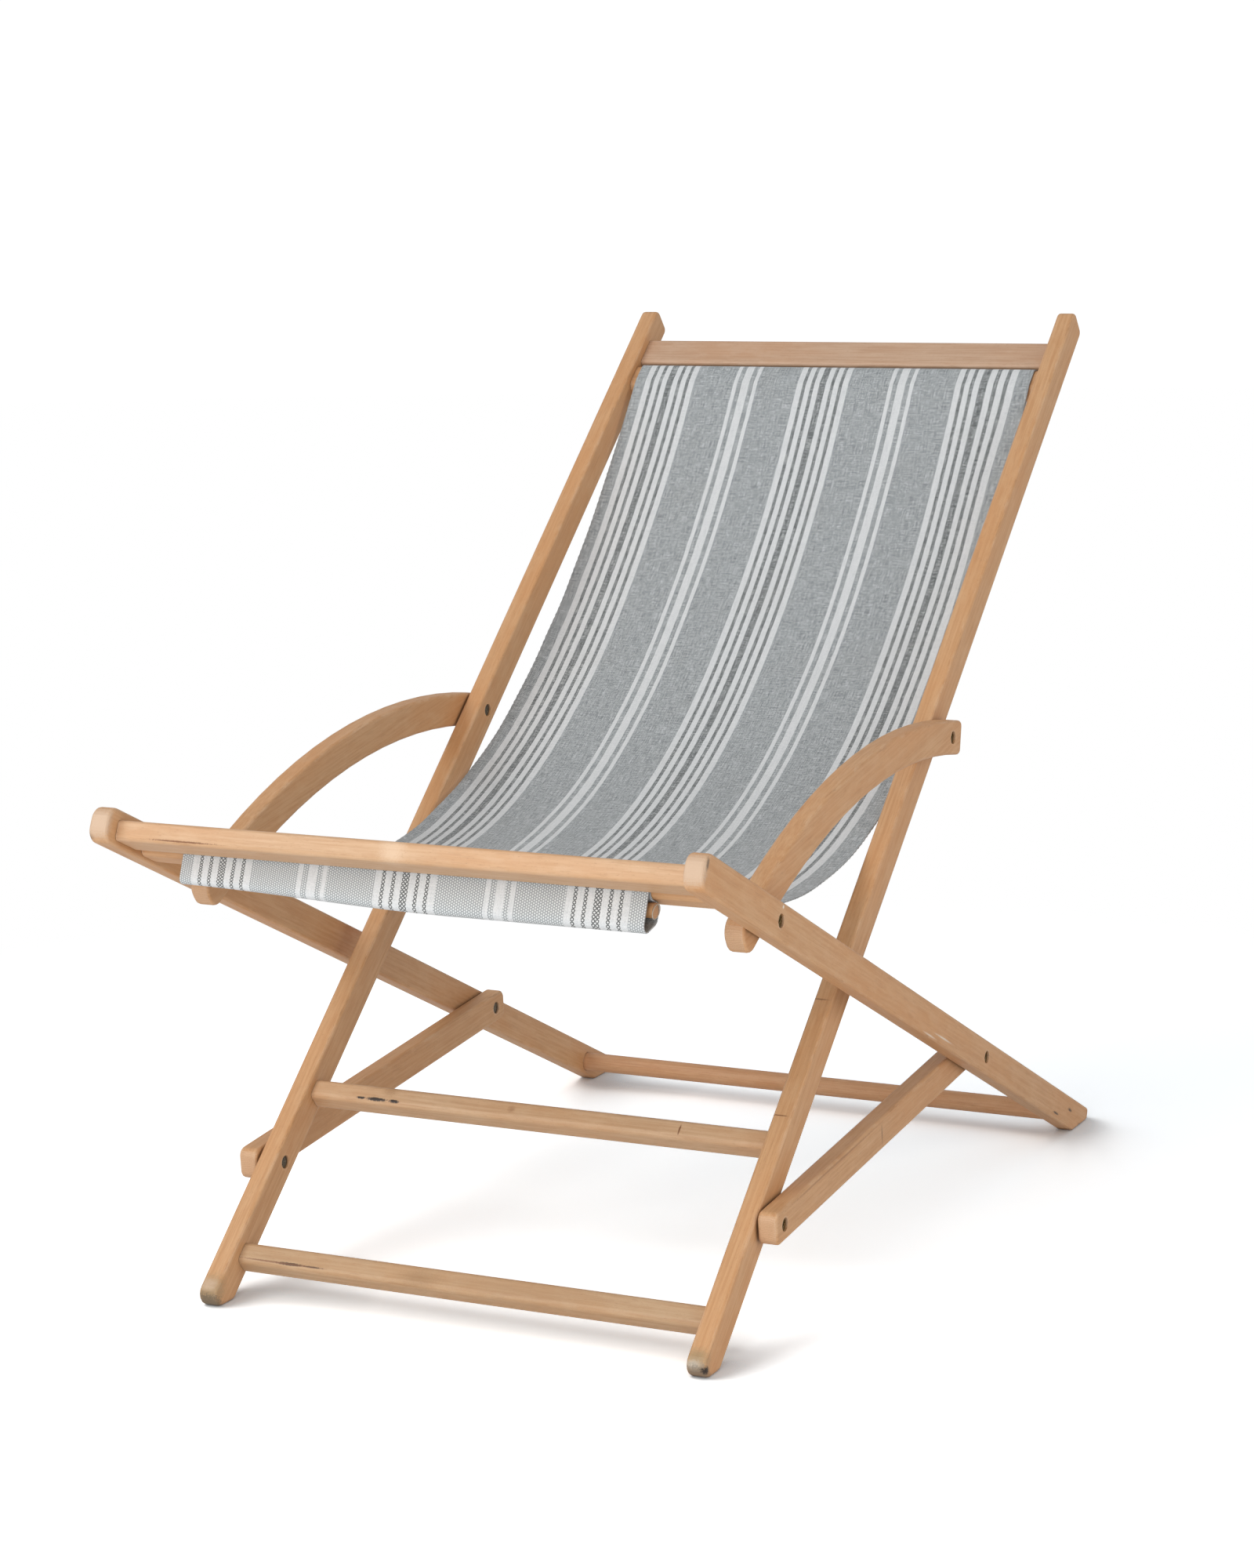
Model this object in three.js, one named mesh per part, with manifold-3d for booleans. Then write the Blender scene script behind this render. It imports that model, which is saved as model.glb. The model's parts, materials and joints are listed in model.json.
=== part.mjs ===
// Folding deck chair with curved arms, as a crossed four-bar frame with a striped sling.
// Millimetres, +Z up, +X to the sitter's left, -Y the way the sitter faces. The origin is on the
// ground under the middle of the open chair.
import * as THREE from 'three';
import { mergeVertices } from 'three/addons/utils/BufferGeometryUtils.js';
import Module from 'manifold-3d';

const wasm = await Module();
wasm.setup();

// ---------- driving dimensions ----------
const STOCK = 18.5; // thickness of every rail, arm and link
const BACK_INNER_X = 231.3; // inner face of a back rail
const LAYER_GAP = 1.6; // room for a washer between two layers
const CLEAR = 0.3; // fit clearance between neighbouring pieces
const EDGE_RADIUS = 3; // eased long edges

const BACK_SPAN = 555.5; // lower pivot to upper pivot, along the back rail
const ARM_SPAN = 480; // front pivot to upper pivot
const LINK_SPAN = 466; // lower pivot to rear pivot
const SEAT_SPAN = 569.5; // front pivot to rear pivot, along the seat rail
const BACK_ANGLE = THREE.MathUtils.degToRad(40.9); // back rail above the ground
const SEAT_ANGLE = THREE.MathUtils.degToRad(-24.8); // seat rail, falling to the rear
const LOWER_PIVOT = new THREE.Vector2(-325.6, 103.5); // (y, z)

const RAIL_DEPTH = 32.5; // back and seat rails, across their length
const LINK_DEPTH = 30;
const ARM_DEPTH = 33;
const ARM_RISE = 37; // height of the arm's bow over its pivots' chord

const BACK_TOP = 1131; // top end of the back rail, from the lower pivot
const SEAT_FRONT = -172; // front end of the seat rail, from the front pivot
const SEAT_REAR = 924; // rear end of the seat rail, from the front pivot

const SLING_HALF_WIDTH = 225;
const SLING_THICKNESS = 1.6;
const SLING_DOWEL_RADIUS = 6.5;
const SLING_DOWEL_HALF_LENGTH = 222;
const SLING_SLOT = 4.4; // slot between the two bars at each end of the sling
const HANG_BACK_ANGLE = THREE.MathUtils.degToRad(55); // below level, where the sling leaves the back bar
const HANG_BACK_REACH = 500; // how far it holds towards that line
const HANG_SEAT_ANGLE = THREE.MathUtils.degToRad(25); // below level, where it leaves the front bar
const HANG_SEAT_REACH = 350;
const HEM_OUT = 3; // the hem's place in the slot, from the sling bar's face
const POCKET_DROP = 35; // corner of the sleeve's front, below the bar
const POCKET_HEEL = 17; // corner of its back, below the bar
const POCKET_BACK = 22.5; // how far back the sleeve reaches from the slot
const POCKET_ROUND = 6;

const TENON_LENGTH = 11;
const ROD_RADIUS = 10;

const BOLT_RADIUS = 3;
const BOLT_HEAD_RADIUS = 5.6;
const BOLT_HEAD_HEIGHT = 3;
const SLEEVE_RADIUS = 4.2;
const SLEEVE_BORE = 3.3;
const SLEEVE_HOLE = 4.6;
const BOLT_HOLE = 3.4;
const COUNTERBORE_RADIUS = 6.2;
const COUNTERBORE_DEPTH = 5;
const WASHER_RADIUS = 9;
const WASHER_THICKNESS = 1;
const ROUND_SEGMENTS = 24;

// ---------- layers across the chair, as [inner face, outer face] ----------
const BACK_LAYER = [BACK_INNER_X, BACK_INNER_X + STOCK];
const ARM_LAYER = [BACK_LAYER[1] + LAYER_GAP, BACK_LAYER[1] + LAYER_GAP + STOCK];
const SEAT_LAYER = [ARM_LAYER[1] + LAYER_GAP, ARM_LAYER[1] + LAYER_GAP + STOCK];

// ---------- the linkage at rest, in the side plane (y, z) ----------
const along = (angle) => new THREE.Vector2(Math.cos(angle), Math.sin(angle));
const backDir = along(BACK_ANGLE);
const seatDir = along(SEAT_ANGLE);
const upperPivot = LOWER_PIVOT.clone().addScaledVector(backDir, BACK_SPAN);

// Where a circle about a meets a circle about b, on the left of the line from a to b.
function circlesMeet(a, radiusA, b, radiusB) {
  const line = b.clone().sub(a);
  const apart = line.length();
  const reach = (radiusA ** 2 - radiusB ** 2 + apart ** 2) / (2 * apart);
  const rise = Math.sqrt(radiusA ** 2 - reach ** 2);
  line.normalize();
  const left = new THREE.Vector2(-line.y, line.x);
  return a.clone().addScaledVector(line, reach).addScaledVector(left, rise);
}

const linkCentre = LOWER_PIVOT.clone().addScaledVector(seatDir, -SEAT_SPAN);
const frontPivot = circlesMeet(upperPivot, ARM_SPAN, linkCentre, LINK_SPAN);
const rearPivot = frontPivot.clone().addScaledVector(seatDir, SEAT_SPAN);

// A frame in the side plane: s runs along a rail from its pivot, n is square to it and points up.
function railFrame(pivot, direction) {
  const normal = new THREE.Vector2(-direction.y, direction.x);
  return {
    point: (s, n) => pivot.clone().addScaledVector(direction, s).addScaledVector(normal, n),
    ground: (n) => -(pivot.y + n * normal.y) / direction.y,
  };
}
const back = railFrame(LOWER_PIVOT, backDir);
const seat = railFrame(frontPivot, seatDir);

// ---------- shape helpers ----------
// A closed outline through corners [point, radius]. A corner with a radius is rounded by an arc.
function easedOutline(corners, arcSteps = 6) {
  const points = corners.flatMap(([corner, radius], i) => {
    if (radius === 0) return [corner];
    const before = corners[(i + corners.length - 1) % corners.length][0];
    const after = corners[(i + 1) % corners.length][0];
    const inward = before.clone().sub(corner).normalize();
    const outward = after.clone().sub(corner).normalize();
    const halfAngle = Math.acos(inward.dot(outward)) / 2;
    const bisector = inward.clone().add(outward).normalize();
    const centre = corner.clone().addScaledVector(bisector, radius / Math.sin(halfAngle));
    const middle = bisector.clone().negate().angle();
    const turn = Math.sign(outward.cross(inward)) * (Math.PI / 2 - halfAngle);
    return Array.from({ length: arcSteps + 1 }, (_, k) => {
      const angle = middle + turn * ((2 * k) / arcSteps - 1);
      return centre.clone().addScaledVector(along(angle), radius);
    });
  });
  return new THREE.Shape(points);
}

// The side plane (y, z) swept across the chair from x = low to x = high.
const acrossChair = new THREE.Matrix4().makeBasis(
  new THREE.Vector3(0, 1, 0),
  new THREE.Vector3(0, 0, 1),
  new THREE.Vector3(1, 0, 0),
);
function sweepAcross(shape, low, high, edge = 0) {
  const geometry = new THREE.ExtrudeGeometry(shape, {
    depth: high - low - 2 * edge,
    bevelEnabled: edge > 0,
    bevelSize: edge,
    bevelOffset: -edge,
    bevelThickness: edge,
    bevelSegments: 3,
  });
  return geometry.applyMatrix4(acrossChair).translate(low + edge, 0, 0);
}

// A cylinder lying across the chair, between x = low and x = high.
function cylinderAcross(radius, low, high, centre) {
  return new THREE.CylinderGeometry(radius, radius, high - low, ROUND_SEGMENTS)
    .rotateZ(-Math.PI / 2)
    .translate((low + high) / 2, centre.x, centre.y);
}

// A closed mesh as a solid that can be joined and cut.
function toSolid(geometry) {
  const bare = geometry.clone();
  bare.deleteAttribute('normal');
  bare.deleteAttribute('uv');
  const merged = mergeVertices(bare, 1e-3);
  const vertProperties = new Float32Array(merged.attributes.position.array);
  const triVerts = new Uint32Array(merged.index.array);
  return new wasm.Manifold(new wasm.Mesh({ numProp: 3, vertProperties, triVerts }));
}

function toGeometry(solid) {
  const { vertProperties, triVerts } = solid.getMesh();
  const geometry = new THREE.BufferGeometry();
  geometry.setAttribute('position', new THREE.BufferAttribute(vertProperties, 3));
  geometry.setIndex(new THREE.BufferAttribute(triVerts, 1));
  geometry.computeVertexNormals();
  return geometry;
}

function join(base, ...added) {
  return toGeometry(added.reduce((solid, piece) => solid.add(toSolid(piece)), toSolid(base)));
}

function cut(base, ...removed) {
  return toGeometry(removed.reduce((solid, piece) => solid.subtract(toSolid(piece)), toSolid(base)));
}

// The same piece for the other side of the chair, kept facing out.
function mirrored(geometry) {
  const flipped = geometry.clone().scale(-1, 1, 1);
  const flippedIndex = flipped.index ? Array.from(flipped.index.array) : null;
  const order = flippedIndex ?? Array.from({ length: flipped.attributes.position.count }, (_, i) => i);
  for (let i = 0; i < order.length; i += 3) {
    [order[i + 1], order[i + 2]] = [order[i + 2], order[i + 1]];
  }
  flipped.setIndex(order);
  flipped.computeVertexNormals();
  return flipped;
}

// ---------- materials ----------
const beech = () => new THREE.MeshStandardMaterial({ color: 0xd0a679, roughness: 0.55, metalness: 0 });
const canvas = () => new THREE.MeshStandardMaterial({ color: 0xa9adad, roughness: 0.95, metalness: 0 });
const brass = () => new THREE.MeshStandardMaterial({ color: 0xb09a62, roughness: 0.35, metalness: 0.9 });
const nylon = () => new THREE.MeshStandardMaterial({ color: 0xd8d4c8, roughness: 0.5, metalness: 0 });

const chair = new THREE.Group();
function addPiece(name, geometry, material) {
  const mesh = new THREE.Mesh(geometry, material);
  mesh.name = name;
  chair.add(mesh);
}
function addPair(name, geometry, makeMaterial) {
  addPiece(`${name}_left`, geometry, makeMaterial());
  addPiece(`${name}_right`, mirrored(geometry), makeMaterial());
}

// ---------- bars between the rails ----------
// Each bar is a block in its rail's frame: s and n give its low corner, wide runs along s, deep along n.
const frontLip = SEAT_FRONT + 15.5;
const headLip = BACK_TOP - 37.5;
const BARS = {
  head_rail: { frame: back, layer: BACK_LAYER, s: headLip - 36.5, n: -14, wide: 36.5, deep: 20, round: 4 },
  back_sling_bar: {
    frame: back, layer: BACK_LAYER, s: headLip - 36.5 - SLING_SLOT - 34, n: -12, wide: 34, deep: 20, round: 8,
  },
  upper_stretcher: { frame: back, layer: BACK_LAYER, s: 70, n: -13.5, wide: 20, deep: 21.5, round: 5 },
  lower_stretcher: { frame: back, layer: BACK_LAYER, s: -112, n: -15, wide: 21.5, deep: 20.5, round: 5 },
  front_rail: { frame: seat, layer: SEAT_LAYER, s: frontLip, n: -11, wide: 38, deep: 18.5, round: 4 },
  front_sling_bar: {
    frame: seat, layer: SEAT_LAYER, s: frontLip + 38 + SLING_SLOT, n: -13, wide: 34, deep: 20, round: 8,
  },
};

// A block in a rail frame, swept across the chair. grow widens it on all sides.
function blockOutline({ frame, s, n, wide, deep }, radius, grow = 0) {
  return easedOutline([
    [frame.point(s - grow, n - grow), radius],
    [frame.point(s + wide + grow, n - grow), radius],
    [frame.point(s + wide + grow, n + deep + grow), radius],
    [frame.point(s - grow, n + deep + grow), radius],
  ]);
}

// The tongue on a bar's end, centred in its section.
function tenonBlock(bar) {
  const wide = bar.wide * 0.6;
  const deep = bar.deep * 0.5;
  return { frame: bar.frame, s: bar.s + (bar.wide - wide) / 2, n: bar.n + (bar.deep - deep) / 2, wide, deep };
}

function barWithTenons(bar) {
  const shoulder = bar.layer[0] - CLEAR;
  const tip = bar.layer[0] + TENON_LENGTH;
  const body = sweepAcross(blockOutline(bar, bar.round), -shoulder, shoulder);
  const tongue = sweepAcross(blockOutline(tenonBlock(bar), 0), -tip, tip);
  return join(body, tongue);
}

function mortise(bar) {
  const mouth = bar.layer[0] - 1;
  const bottom = bar.layer[0] + TENON_LENGTH + CLEAR;
  return sweepAcross(blockOutline(tenonBlock(bar), 0, CLEAR), mouth, bottom);
}

// ---------- pivot holes ----------
// In the outer of two pieces: a counterbore for the bolt's head and a hole for its shank.
function boltHole(pivot, [inner, outer]) {
  return [
    cylinderAcross(COUNTERBORE_RADIUS, outer - COUNTERBORE_DEPTH, outer + 1, pivot),
    cylinderAcross(BOLT_HOLE, inner - 1, outer, pivot),
  ];
}

// In the inner piece: a counterbore for the sleeve nut's flange and a hole for its sleeve.
function nutHole(pivot, [inner, outer]) {
  return [
    cylinderAcross(COUNTERBORE_RADIUS, inner - 1, inner + COUNTERBORE_DEPTH, pivot),
    cylinderAcross(SLEEVE_HOLE, inner, outer + 1, pivot),
  ];
}

// ---------- rails, arms and links, for the left side (+X) ----------
const half = RAIL_DEPTH / 2;

function backRail() {
  const corners = [
    [back.point(back.ground(-half), -half), 8],
    [back.point(BACK_TOP, -half), 6],
    [back.point(BACK_TOP, half), 8],
    [back.point(back.ground(half), half), 11],
  ];
  const blank = sweepAcross(easedOutline(corners), ...BACK_LAYER, EDGE_RADIUS);
  const mortises = Object.values(BARS).filter((bar) => bar.frame === back).map(mortise);
  return cut(blank, ...nutHole(upperPivot, BACK_LAYER), ...nutHole(LOWER_PIVOT, BACK_LAYER), ...mortises);
}

const rodCentre = seat.point(SEAT_REAR - 73, -2);
const rodTip = SEAT_LAYER[0] + TENON_LENGTH;

function seatRail() {
  // The foot is cut level with the ground, from the underside to the end of the rail.
  const heelRise = (SEAT_REAR - seat.ground(-half)) * Math.tan(-SEAT_ANGLE);
  const corners = [
    [seat.point(SEAT_FRONT, -half), 12],
    [seat.point(seat.ground(-half), -half), 6],
    [seat.point(SEAT_REAR, -half + heelRise), 5],
    [seat.point(SEAT_REAR, half), 5],
    [seat.point(SEAT_FRONT, half), 13],
  ];
  const blank = sweepAcross(easedOutline(corners), ...SEAT_LAYER, EDGE_RADIUS);
  const mortises = Object.values(BARS).filter((bar) => bar.frame === seat).map(mortise);
  const rodHole = cylinderAcross(ROD_RADIUS + CLEAR, SEAT_LAYER[0] - 1, rodTip + CLEAR, rodCentre);
  return cut(blank, ...boltHole(frontPivot, SEAT_LAYER), ...boltHole(rearPivot, SEAT_LAYER), rodHole, ...mortises);
}

function curvedArm() {
  const chord = upperPivot.clone().sub(frontPivot);
  const radius = ((ARM_SPAN / 2) ** 2 + ARM_RISE ** 2) / (2 * ARM_RISE);
  const middle = frontPivot.clone().addScaledVector(chord, 0.5);
  const down = new THREE.Vector2(chord.y, -chord.x).normalize();
  const centre = middle.addScaledVector(down, radius - ARM_RISE);
  const angleOf = (p) => Math.atan2(p.y - centre.y, p.x - centre.x);
  const rearEnd = angleOf(upperPivot) - 24 / radius;
  const frontEnd = angleOf(frontPivot) + 34 / radius;
  const at = (t, r) => centre.clone().addScaledVector(along(THREE.MathUtils.lerp(rearEnd, frontEnd, t)), r);
  const outer = radius + ARM_DEPTH / 2;
  const inner = radius - ARM_DEPTH / 2;
  const bow = (r) => Array.from({ length: 15 }, (_, i) => [at((i + 1) / 16, r), 0]);
  const corners = [
    [at(0, outer), 6],
    ...bow(outer),
    [at(1, outer), 14],
    [at(1, inner), 14],
    ...bow(inner).reverse(),
    [at(0, inner), 6],
  ];
  const blank = sweepAcross(easedOutline(corners), ...ARM_LAYER, EDGE_RADIUS);
  return cut(blank, ...boltHole(upperPivot, ARM_LAYER), ...nutHole(frontPivot, ARM_LAYER));
}

function lowerLink() {
  const direction = rearPivot.clone().sub(LOWER_PIVOT).normalize();
  const link = railFrame(LOWER_PIVOT, direction);
  const side = LINK_DEPTH / 2;
  const corners = [
    [link.point(-18, -side), 8],
    [link.point(LINK_SPAN + 19, -side), 8],
    [link.point(LINK_SPAN + 19, side), 8],
    [link.point(-18, side), 8],
  ];
  const blank = sweepAcross(easedOutline(corners), ...ARM_LAYER, EDGE_RADIUS);
  return cut(blank, ...boltHole(LOWER_PIVOT, ARM_LAYER), ...nutHole(rearPivot, ARM_LAYER));
}

// ---------- pivot hardware, for the left side ----------
// A flat-headed bolt with a screwdriver slot: head in the outer piece, tip inside the inner one.
function pivotBolt(pivot, [, outer], tip) {
  const headLow = outer - COUNTERBORE_DEPTH + CLEAR;
  const headHigh = headLow + BOLT_HEAD_HEIGHT;
  const bolt = join(
    cylinderAcross(BOLT_HEAD_RADIUS, headLow, headHigh, pivot),
    cylinderAcross(BOLT_RADIUS, tip, headLow + 1, pivot),
  );
  const slot = new THREE.BoxGeometry(1.2, 3 * BOLT_HEAD_RADIUS, 1.4)
    .rotateX(0.6)
    .translate(headHigh, pivot.x, pivot.y);
  return cut(bolt, slot);
}

// A sleeve nut: a flange in the inner piece's counterbore and a bored sleeve round the bolt.
function sleeveNut(pivot, [inner, outer]) {
  const flangeLow = inner + 1.5;
  const flangeHigh = inner + COUNTERBORE_DEPTH - CLEAR;
  const nut = join(
    cylinderAcross(BOLT_HEAD_RADIUS, flangeLow, flangeHigh, pivot),
    cylinderAcross(SLEEVE_RADIUS, flangeHigh - 1, outer - 1, pivot),
  );
  return cut(nut, cylinderAcross(SLEEVE_BORE, flangeLow + 1, outer, pivot));
}

// A washer in the gap outside a layer.
function spacerWasher(pivot, [, outer]) {
  const low = outer + CLEAR;
  const ring = cylinderAcross(WASHER_RADIUS, low, low + WASHER_THICKNESS, pivot);
  const hole = cylinderAcross(BOLT_HOLE, low - 1, low + WASHER_THICKNESS + 1, pivot);
  return cut(ring, hole);
}

// ---------- the sling ----------
const SLING_SKIN = CLEAR + SLING_THICKNESS / 2; // centre of the cloth from the face it lies on

const SLING_ENDS = {
  top: { bar: BARS.back_sling_bar, side: 1, leave: 0.25 },
  front: { bar: BARS.front_sling_bar, side: -1, leave: 0 },
};

// A place by a sling bar: u outward from its face in the slot, down from its underside.
function byBar({ bar, side }, u, down) {
  const face = side > 0 ? bar.s + bar.wide : bar.s;
  return bar.frame.point(face + side * u, bar.n - down);
}

// The cloth's centre line from its hem in the slot, round the loose sleeve, up the slot and over the bar.
function slingEndPath(end) {
  const { bar, leave } = end;
  const pocket = easedOutline([
    [byBar(end, HEM_OUT, -5), 0],
    [byBar(end, 0.5, POCKET_DROP), POCKET_ROUND],
    [byBar(end, -POCKET_BACK, POCKET_HEEL), POCKET_ROUND],
    [byBar(end, -POCKET_BACK, SLING_SKIN), POCKET_ROUND],
    [byBar(end, SLING_SKIN, SLING_SKIN), bar.round + SLING_SKIN],
    [byBar(end, SLING_SKIN, -bar.round), 0],
  ]);
  const arc = (centreU, from, to, steps) => Array.from({ length: steps + 1 }, (_, i) => {
    const turn = along(THREE.MathUtils.lerp(from, to, i / steps)).multiplyScalar(bar.round + SLING_SKIN);
    return byBar(end, centreU + turn.x, bar.round - bar.deep - turn.y);
  });
  const quarter = Math.PI / 2;
  return [
    ...pocket.getPoints(),
    ...arc(-bar.round, 0, quarter, 4),
    ...arc(bar.round - bar.wide, quarter, quarter + leave, 2),
  ].filter((point, i, all) => i === 0 || point.distanceTo(all[i - 1]) > 0.01);
}

function slingPath() {
  const top = slingEndPath(SLING_ENDS.top);
  const front = slingEndPath(SLING_ENDS.front).reverse();
  const start = top.at(-1);
  const stop = front[0];
  const hang = new THREE.CubicBezierCurve(
    start,
    start.clone().addScaledVector(along(HANG_BACK_ANGLE), -HANG_BACK_REACH),
    stop.clone().addScaledVector(along(-HANG_SEAT_ANGLE), HANG_SEAT_REACH),
    stop,
  );
  return [...top, ...hang.getSpacedPoints(44).slice(1, -1), ...front];
}

function sling() {
  const path = slingPath();
  const offset = (side) => path.map((p, i) => {
    const before = path[Math.max(i - 1, 0)];
    const after = path[Math.min(i + 1, path.length - 1)];
    const run = after.clone().sub(before).normalize();
    return new THREE.Vector2(p.x - run.y * side, p.y + run.x * side);
  });
  const outside = offset(SLING_THICKNESS / 2);
  const inside = offset(-SLING_THICKNESS / 2);
  const shape = new THREE.Shape([...outside, ...inside.reverse()]);
  return sweepAcross(shape, -SLING_HALF_WIDTH, SLING_HALF_WIDTH);
}

function slingDowel(end) {
  const down = SLING_SKIN + SLING_THICKNESS / 2 + CLEAR + SLING_DOWEL_RADIUS;
  const centre = byBar(end, -POCKET_BACK / 2, down);
  return cylinderAcross(SLING_DOWEL_RADIUS, -SLING_DOWEL_HALF_LENGTH, SLING_DOWEL_HALF_LENGTH, centre);
}

// ---------- the chair ----------
addPair('back_rail', backRail(), beech);
addPair('seat_rail', seatRail(), beech);
addPair('arm', curvedArm(), beech);
addPair('lower_link', lowerLink(), beech);
for (const [name, bar] of Object.entries(BARS)) addPiece(name, barWithTenons(bar), beech());
addPiece('rear_rod', cylinderAcross(ROD_RADIUS, -rodTip, rodTip, rodCentre), beech());

addPiece('sling', sling(), canvas());
addPiece('sling_dowel_top', slingDowel(SLING_ENDS.top), beech());
addPiece('sling_dowel_front', slingDowel(SLING_ENDS.front), beech());

// At the rear pivot the bolt stops short of the link, because the linkage is opened there.
const PIVOTS = {
  upper: { at: upperPivot, inner: BACK_LAYER, outer: ARM_LAYER, tip: BACK_LAYER[0] + COUNTERBORE_DEPTH },
  lower: { at: LOWER_PIVOT, inner: BACK_LAYER, outer: ARM_LAYER, tip: BACK_LAYER[0] + COUNTERBORE_DEPTH },
  front: { at: frontPivot, inner: ARM_LAYER, outer: SEAT_LAYER, tip: ARM_LAYER[0] + COUNTERBORE_DEPTH },
  rear: { at: rearPivot, inner: ARM_LAYER, outer: SEAT_LAYER, tip: SEAT_LAYER[0] },
};
for (const [name, { at, inner, outer, tip }] of Object.entries(PIVOTS)) {
  addPair(`${name}_pivot_bolt`, pivotBolt(at, outer, tip), brass);
  addPair(`${name}_sleeve_nut`, sleeveNut(at, inner), brass);
  addPair(`${name}_washer`, spacerWasher(at, inner), nylon);
}

export default chair;
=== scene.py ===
import json
import math

import bmesh
import bpy
from mathutils import Matrix, Vector, noise
from mathutils.geometry import interpolate_bezier


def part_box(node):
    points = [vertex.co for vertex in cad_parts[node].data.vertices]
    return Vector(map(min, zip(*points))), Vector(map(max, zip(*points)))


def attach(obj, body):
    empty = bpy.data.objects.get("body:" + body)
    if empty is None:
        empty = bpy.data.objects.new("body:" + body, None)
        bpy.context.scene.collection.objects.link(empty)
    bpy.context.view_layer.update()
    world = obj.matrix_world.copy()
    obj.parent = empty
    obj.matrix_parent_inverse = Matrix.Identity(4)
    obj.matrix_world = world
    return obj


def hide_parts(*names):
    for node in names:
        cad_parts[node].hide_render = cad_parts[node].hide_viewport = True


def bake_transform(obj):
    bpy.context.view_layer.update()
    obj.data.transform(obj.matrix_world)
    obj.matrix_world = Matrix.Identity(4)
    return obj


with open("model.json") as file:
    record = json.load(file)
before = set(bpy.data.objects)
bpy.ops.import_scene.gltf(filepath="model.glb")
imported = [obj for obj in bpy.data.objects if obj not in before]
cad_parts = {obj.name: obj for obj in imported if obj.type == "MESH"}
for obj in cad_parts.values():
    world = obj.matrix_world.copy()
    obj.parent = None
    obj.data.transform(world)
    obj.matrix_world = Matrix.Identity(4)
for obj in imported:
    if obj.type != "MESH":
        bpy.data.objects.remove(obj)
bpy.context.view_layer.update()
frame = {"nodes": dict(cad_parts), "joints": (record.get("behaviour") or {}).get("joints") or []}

MM = 0.001

# ---------- directions and places in the frame, in metres ----------
X = Vector((1, 0, 0))
JOINTS = {j["name"]: Vector(j["pos_m"]) for j in frame["joints"]}
UPPER_PIVOT = JOINTS["fold"]
FRONT_PIVOT = JOINTS["seat_hinge"]
LOWER_PIVOT = JOINTS["link_hinge"]
rear_low, rear_high = (Vector(corner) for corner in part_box("rear_pivot_bolt_left"))
REAR_PIVOT = (rear_low + rear_high) / 2
REAR_PIVOT.x = LOWER_PIVOT.x


def side_direction(degrees):
    angle = math.radians(degrees)
    return Vector((0, math.cos(angle), math.sin(angle)))


BACK_DIR = side_direction(40.9)
SEAT_DIR = side_direction(-24.8)
ARM_DIR = side_direction(10)  # the grain of an arm, about along its chord
LINK_DIR = side_direction(5.1)


def in_rail(pivot, direction, s_mm, n_mm, x=0.0):
    """A point s along a rail from its pivot and n square to it, upwards."""
    normal = X.cross(direction)
    p = pivot + direction * (s_mm * MM) + normal * (n_mm * MM)
    return Vector((x, p.y, p.z))


# ---------- node graphs ----------
class Graph:
    """A short way to write a material's node tree."""

    def __init__(self, name):
        self.material = bpy.data.materials.new(name)
        self.material.use_nodes = True
        self.tree = self.material.node_tree
        self.tree.nodes.clear()
        self.position = self.add("ShaderNodeTexCoord").outputs["Object"]

    def add(self, kind, inputs=None, **settings):
        node = self.tree.nodes.new(kind)
        for key, value in settings.items():
            setattr(node, key, value)
        for key, value in (inputs or {}).items():
            self.feed(node.inputs[key], value)
        return node

    def feed(self, socket, value):
        if isinstance(value, bpy.types.NodeSocket):
            self.tree.links.new(value, socket)
        else:
            socket.default_value = value

    def math(self, operation, *values):
        node = self.add("ShaderNodeMath", operation=operation)
        for socket, value in zip(node.inputs, values):
            self.feed(socket, value)
        return node.outputs[0]

    def dot(self, vector, direction):
        node = self.add("ShaderNodeVectorMath", operation="DOT_PRODUCT")
        self.feed(node.inputs[0], vector)
        self.feed(node.inputs[1], tuple(direction))
        return node.outputs["Value"]

    def combine(self, x, y, z=0.0):
        return self.add("ShaderNodeCombineXYZ", {"X": x, "Y": y, "Z": z}).outputs[0]

    def noise(self, vector, scale=1.0, detail=2.0, roughness=0.5):
        inputs = {"Vector": vector, "Scale": scale, "Detail": detail, "Roughness": roughness}
        return self.add("ShaderNodeTexNoise", inputs).outputs["Fac"]

    def step(self, value, low, high):
        """0 below low, 1 above high, smooth between. low may be the larger."""
        inputs = {"Value": value, "From Min": low, "From Max": high}
        node = self.add("ShaderNodeMapRange", inputs, interpolation_type="SMOOTHSTEP")
        return node.outputs[0]

    def mix(self, amount, a, b, blend="MIX"):
        node = self.add("ShaderNodeMix", data_type="RGBA", blend_type=blend)
        self.feed(node.inputs["Factor"], amount)
        self.feed(node.inputs[6], colour(a))
        self.feed(node.inputs[7], colour(b))
        return node.outputs[2]

    def ramp(self, value, stops):
        node = self.add("ShaderNodeValToRGB", {"Fac": value})
        ramp = node.color_ramp
        ramp.interpolation = "LINEAR"
        while len(ramp.elements) < len(stops):
            ramp.elements.new(1.0)
        for element, (place, tone) in zip(ramp.elements, stops):
            element.position = place
            element.color = colour(tone)
        return node.outputs["Color"]

    def finish(self, base, roughness, height=None, bump=1 * MM, strength=1.0, **extra):
        inputs = {"Base Color": base, "Roughness": roughness}
        inputs.update({key.replace("_", " "): value for key, value in extra.items()})
        shader = self.add("ShaderNodeBsdfPrincipled", inputs)
        if height is not None:
            settings = {"Height": height, "Distance": bump, "Strength": strength}
            normal = self.add("ShaderNodeBump", settings).outputs["Normal"]
            self.feed(shader.inputs["Normal"], normal)
        output = self.add("ShaderNodeOutputMaterial")
        self.tree.links.new(shader.outputs[0], output.inputs["Surface"])
        return self.material


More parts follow.
